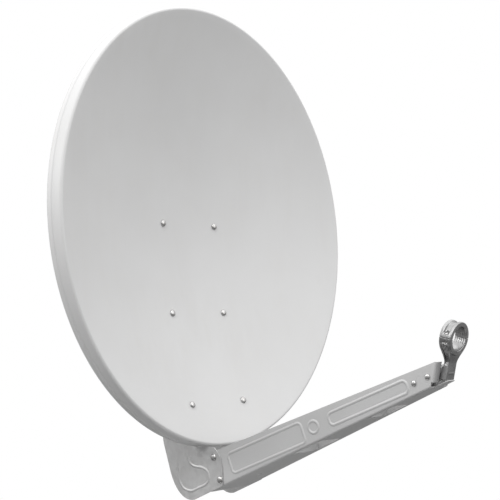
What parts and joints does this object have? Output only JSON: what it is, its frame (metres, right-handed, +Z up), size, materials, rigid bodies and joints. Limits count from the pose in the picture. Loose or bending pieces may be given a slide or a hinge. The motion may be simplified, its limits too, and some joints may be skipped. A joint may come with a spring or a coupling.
{
  "type": "satellite dish",
  "caption": "Offset satellite dish with a bolted rear bracket, a folding channel feed arm, a split feed clamp and a tilting clamp for a vertical mast.",
  "frame": {"origin": "on the axis of the mast that the clamp holds, halfway between the upper and the lower jaws", "axes": "+Z up along the mast, -Y towards the satellite side, +X to the right seen from in front of the feed looking at the back of the mast, that is looking along +Y"},
  "size_m": [0.785, 0.7945, 0.9443],
  "materials": {
    "reflector_coat": "light grey powder coat, satin",
    "arm_coat": "mid grey powder coat, satin",
    "galvanised_steel": "galvanised and grey coated sheet, satin",
    "clamp_casting": "die-cast, tumbled, slightly glossy",
    "zinc_fasteners": "zinc plated, glossy"
  },
  "bodies": {
    "mast_clamp": {"mast_saddle": "galvanised_steel", "front_jaw_upper": "clamp_casting", "front_jaw_lower": "clamp_casting", "clamp_bolt_upper_left": "zinc_fasteners", "clamp_bolt_upper_right": "zinc_fasteners", "clamp_bolt_lower_left": "zinc_fasteners", "clamp_bolt_lower_right": "zinc_fasteners"},
    "rear_jaw_upper": {"rear_jaw_upper": "clamp_casting", "clamp_nut_upper_left": "zinc_fasteners", "clamp_nut_upper_right": "zinc_fasteners"},
    "rear_jaw_lower": {"rear_jaw_lower": "clamp_casting", "clamp_nut_lower_left": "zinc_fasteners", "clamp_nut_lower_right": "zinc_fasteners"},
    "dish": {"reflector": "reflector_coat", "dish_bolt_top_left": "zinc_fasteners", "dish_nut_top_left": "zinc_fasteners", "dish_bolt_middle_left": "zinc_fasteners", "dish_nut_middle_left": "zinc_fasteners", "dish_bolt_bottom_left": "zinc_fasteners", "dish_nut_bottom_left": "zinc_fasteners", "dish_bolt_top_right": "zinc_fasteners", "dish_nut_top_right": "zinc_fasteners", "dish_bolt_middle_right": "zinc_fasteners", "dish_nut_middle_right": "zinc_fasteners", "dish_bolt_bottom_right": "zinc_fasteners", "dish_nut_bottom_right": "zinc_fasteners", "side_plate_left": "galvanised_steel", "side_plate_right": "galvanised_steel", "plate_tie_upper": "galvanised_steel", "plate_tie_lower": "galvanised_steel", "arm_hook_left_bolt": "zinc_fasteners", "arm_hook_left_nut": "zinc_fasteners", "arm_fold_left_bolt": "zinc_fasteners", "arm_fold_left_nut": "zinc_fasteners", "pivot_left_bolt": "zinc_fasteners", "pivot_left_nut": "zinc_fasteners", "tilt_lock_left_bolt": "zinc_fasteners", "tilt_lock_left_nut": "zinc_fasteners", "arm_hook_right_bolt": "zinc_fasteners", "arm_hook_right_nut": "zinc_fasteners", "arm_fold_right_bolt": "zinc_fasteners", "arm_fold_right_nut": "zinc_fasteners", "pivot_right_bolt": "zinc_fasteners", "pivot_right_nut": "zinc_fasteners", "tilt_lock_right_bolt": "zinc_fasteners", "tilt_lock_right_nut": "zinc_fasteners"},
    "feed_arm": {"arm_channel": "arm_coat", "feed_clamp_base": "clamp_casting", "feed_front_bolt": "zinc_fasteners", "feed_front_nut": "zinc_fasteners", "feed_rear_bolt": "zinc_fasteners", "feed_rear_nut": "zinc_fasteners"},
    "feed_cap": {"feed_clamp_cap": "clamp_casting", "cap_screw_left": "zinc_fasteners", "cap_screw_right": "zinc_fasteners"}
  },
  "joints": [
    {"name": "elevation_tilt", "type": "hinge", "parent": "mast_clamp", "child": "dish", "pos_m": [0, -0.07994, 0.045], "axis": [-1, 0, 0], "range_deg": [-17, 25]},
    {"name": "arm_fold", "type": "hinge", "parent": "dish", "child": "feed_arm", "pos_m": [0, -0.25709, -0.31321], "axis": [1, 0, 0], "range_deg": [0, 80]},
    {"name": "feed_cap_lift", "type": "slide", "parent": "feed_arm", "child": "feed_cap", "axis": [0, -0.1994, 0.9799], "range_m": [0, 0.025]},
    {"name": "upper_jaw_slide", "type": "slide", "parent": "mast_clamp", "child": "rear_jaw_upper", "axis": [0, 1, 0], "range_m": [-0.018, 0.008]},
    {"name": "lower_jaw_slide", "type": "slide", "parent": "mast_clamp", "child": "rear_jaw_lower", "axis": [0, 1, 0], "range_m": [-0.018, 0.008]}
  ]
}
